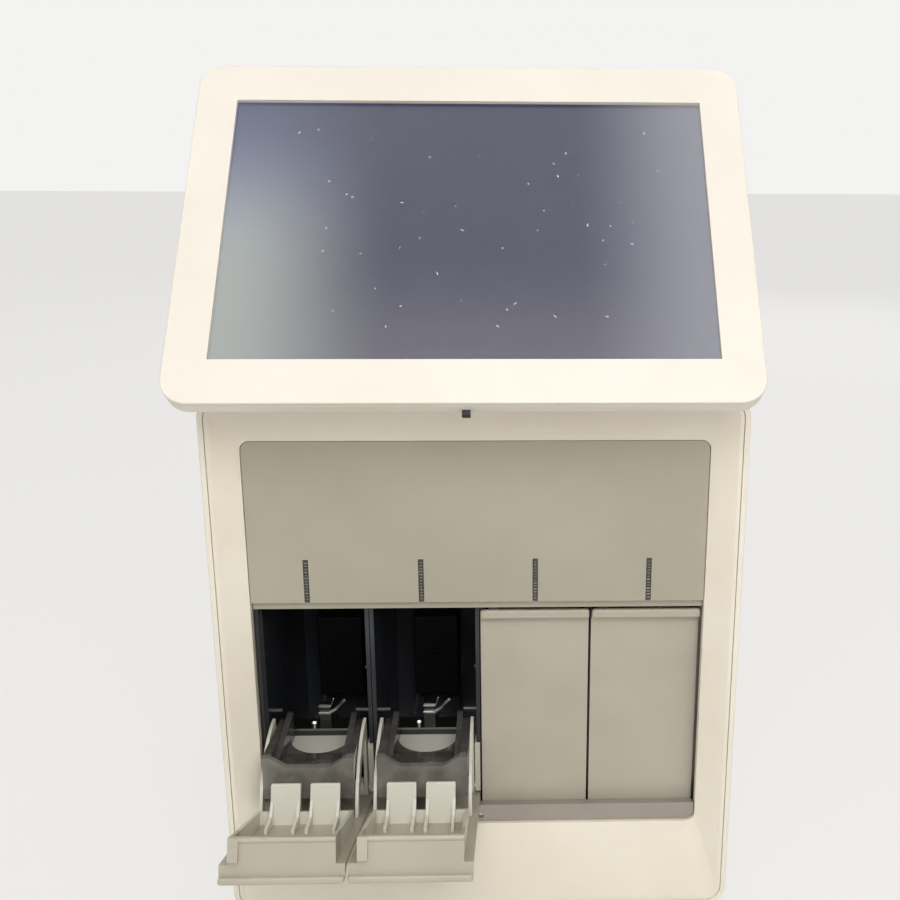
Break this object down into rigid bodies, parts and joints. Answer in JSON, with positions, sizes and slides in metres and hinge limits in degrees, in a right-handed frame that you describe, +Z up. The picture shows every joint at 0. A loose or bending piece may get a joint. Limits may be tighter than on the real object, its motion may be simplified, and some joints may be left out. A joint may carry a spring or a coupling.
{
  "type": "real-time pcr system",
  "caption": "Bench-top real-time PCR analyser: a box of fold-down test bays with sliding carriers, a grey fascia, and a tilting touch screen on top.",
  "frame": {"origin": "centre of the bounding box, on the bench under the feet", "axes": "+Z up; +Y to the back of the machine; +X to the right seen from the front"},
  "size_m": [0.283, 0.4382, 0.475],
  "materials": {
    "casing": "satin",
    "bezel_plastic": "satin",
    "fascia_plastic": "satin",
    "door_plastic": "satin",
    "bay_plastic": "gloss",
    "optics_housing": "satin",
    "cradle_plastic": "gloss",
    "stage_plastic": "satin",
    "steel": "brushed",
    "drive_metal": "satin",
    "sheet_metal": "satin",
    "circuit_board": "satin",
    "light_guide": "gloss",
    "black_plastic": "satin",
    "guard_wire": "polished",
    "feet_rubber": "matt",
    "screen_glass": "gloss",
    "screen_panel": "gloss"
  },
  "bodies": {
    "base": {"outer_shell": "casing", "front_bezel": "bezel_plastic", "grey_panel": "fascia_plastic", "sill": "fascia_plastic", "housing_1": "bay_plastic", "housing_2": "bay_plastic", "housing_3": "bay_plastic", "housing_4": "bay_plastic", "door_latches": "bay_plastic", "optics_1": "optics_housing", "optics_2": "optics_housing", "optics_3": "optics_housing", "optics_4": "optics_housing", "hinge_brackets": "stage_plastic", "hinge_pins": "steel", "tilt_shaft": "steel", "case_screws": "steel", "valve_motors": "drive_metal", "syringe_drives": "drive_metal", "tilt_bracket": "drive_metal", "base_pan": "sheet_metal", "chassis_frame": "sheet_metal", "power_supply": "sheet_metal", "rear_panel": "sheet_metal", "status_board": "circuit_board", "controller_board": "circuit_board", "light_guides": "light_guide", "fan_frame": "black_plastic", "power_inlet": "black_plastic", "port_block": "black_plastic", "fan_guard": "guard_wire", "rubber_feet": "feet_rubber"},
    "display": {"display_shell": "bezel_plastic", "display_bezel": "bezel_plastic", "display_glass": "screen_glass", "display_panel": "screen_panel", "display_board": "circuit_board", "scanner_unit": "black_plastic"},
    "power_rocker": {"rocker_switch": "black_plastic"},
    "fan": {"fan_rotor": "black_plastic"},
    "door_1_body": {"door_1": "door_plastic"},
    "carrier_1": {"cradle_1": "cradle_plastic", "stage_1": "stage_plastic"},
    "valve_1": {"valve_drive_1": "steel"},
    "syringe_1": {"plunger_1": "steel"},
    "door_2_body": {"door_2": "door_plastic"},
    "carrier_2": {"cradle_2": "cradle_plastic", "stage_2": "stage_plastic"},
    "valve_2": {"valve_drive_2": "steel"},
    "syringe_2": {"plunger_2": "steel"},
    "door_3_body": {"door_3": "door_plastic"},
    "carrier_3": {"cradle_3": "cradle_plastic", "stage_3": "stage_plastic"},
    "valve_3": {"valve_drive_3": "steel"},
    "syringe_3": {"plunger_3": "steel"},
    "door_4_body": {"door_4": "door_plastic"},
    "carrier_4": {"cradle_4": "cradle_plastic", "stage_4": "stage_plastic"},
    "valve_4": {"valve_drive_4": "steel"},
    "syringe_4": {"plunger_4": "steel"}
  },
  "joints": [
    {"name": "door_1_hinge", "type": "hinge", "parent": "base", "child": "door_1_body", "pos_m": [-0.0897, -0.10595, 0.0776], "axis": [1, 0, 0], "range_deg": [-74, 0]},
    {"name": "carrier_1_slide", "type": "slide", "parent": "base", "child": "carrier_1", "axis": [0, 1, 0], "range_m": [0, 0.048]},
    {"name": "valve_1_turn", "type": "hinge", "parent": "base", "child": "valve_1", "pos_m": [-0.0897, -0.06095, 0.07], "axis": [0, 0, 1], "continuous": true},
    {"name": "syringe_1_stroke", "type": "slide", "parent": "base", "child": "syringe_1", "axis": [0, 0, 1], "range_m": [-0.05, 0]},
    {"name": "door_2_hinge", "type": "hinge", "parent": "base", "child": "door_2_body", "pos_m": [-0.0289, -0.10595, 0.0776], "axis": [1, 0, 0], "range_deg": [-74, 0]},
    {"name": "carrier_2_slide", "type": "slide", "parent": "base", "child": "carrier_2", "axis": [0, 1, 0], "range_m": [0, 0.048]},
    {"name": "valve_2_turn", "type": "hinge", "parent": "base", "child": "valve_2", "pos_m": [-0.0289, -0.06095, 0.07], "axis": [0, 0, 1], "continuous": true},
    {"name": "syringe_2_stroke", "type": "slide", "parent": "base", "child": "syringe_2", "axis": [0, 0, 1], "range_m": [-0.05, 0]},
    {"name": "door_3_hinge", "type": "hinge", "parent": "base", "child": "door_3_body", "pos_m": [0.0319, -0.10595, 0.0776], "axis": [1, 0, 0], "range_deg": [0, 74]},
    {"name": "carrier_3_slide", "type": "slide", "parent": "base", "child": "carrier_3", "axis": [0, 1, 0], "range_m": [-0.048, 0]},
    {"name": "valve_3_turn", "type": "hinge", "parent": "base", "child": "valve_3", "pos_m": [0.0319, -0.06095, 0.07], "axis": [0, 0, 1], "continuous": true},
    {"name": "syringe_3_stroke", "type": "slide", "parent": "base", "child": "syringe_3", "axis": [0, 0, 1], "range_m": [-0.05, 0]},
    {"name": "door_4_hinge", "type": "hinge", "parent": "base", "child": "door_4_body", "pos_m": [0.0927, -0.10595, 0.0776], "axis": [1, 0, 0], "range_deg": [0, 74]},
    {"name": "carrier_4_slide", "type": "slide", "parent": "base", "child": "carrier_4", "axis": [0, 1, 0], "range_m": [-0.048, 0]},
    {"name": "valve_4_turn", "type": "hinge", "parent": "base", "child": "valve_4", "pos_m": [0.0927, -0.06095, 0.07], "axis": [0, 0, 1], "continuous": true},
    {"name": "syringe_4_stroke", "type": "slide", "parent": "base", "child": "syringe_4", "axis": [0, 0, 1], "range_m": [-0.05, 0]},
    {"name": "display_tilt", "type": "hinge", "parent": "base", "child": "display", "pos_m": [-0.0015, -0.10595, 0.3465], "axis": [1, 0, 0], "range_deg": [-15, 15]},
    {"name": "power_rocker_tilt", "type": "hinge", "parent": "base", "child": "power_rocker", "pos_m": [-0.0715, 0.21305, 0.046], "axis": [1, 0, 0], "range_deg": [-18, 0]},
    {"name": "fan_spin", "type": "hinge", "parent": "base", "child": "fan", "pos_m": [0.0615, 0.19905, 0.2], "axis": [0, 1, 0], "continuous": true}
  ],
  "couplings": [
    {"joint": "carrier_1_slide", "follows": "door_1_hinge", "m_per_rad": -0.03716},
    {"joint": "carrier_2_slide", "follows": "door_2_hinge", "m_per_rad": -0.03716},
    {"joint": "carrier_3_slide", "follows": "door_3_hinge", "m_per_rad": -0.03716},
    {"joint": "carrier_4_slide", "follows": "door_4_hinge", "m_per_rad": -0.03716}
  ]
}
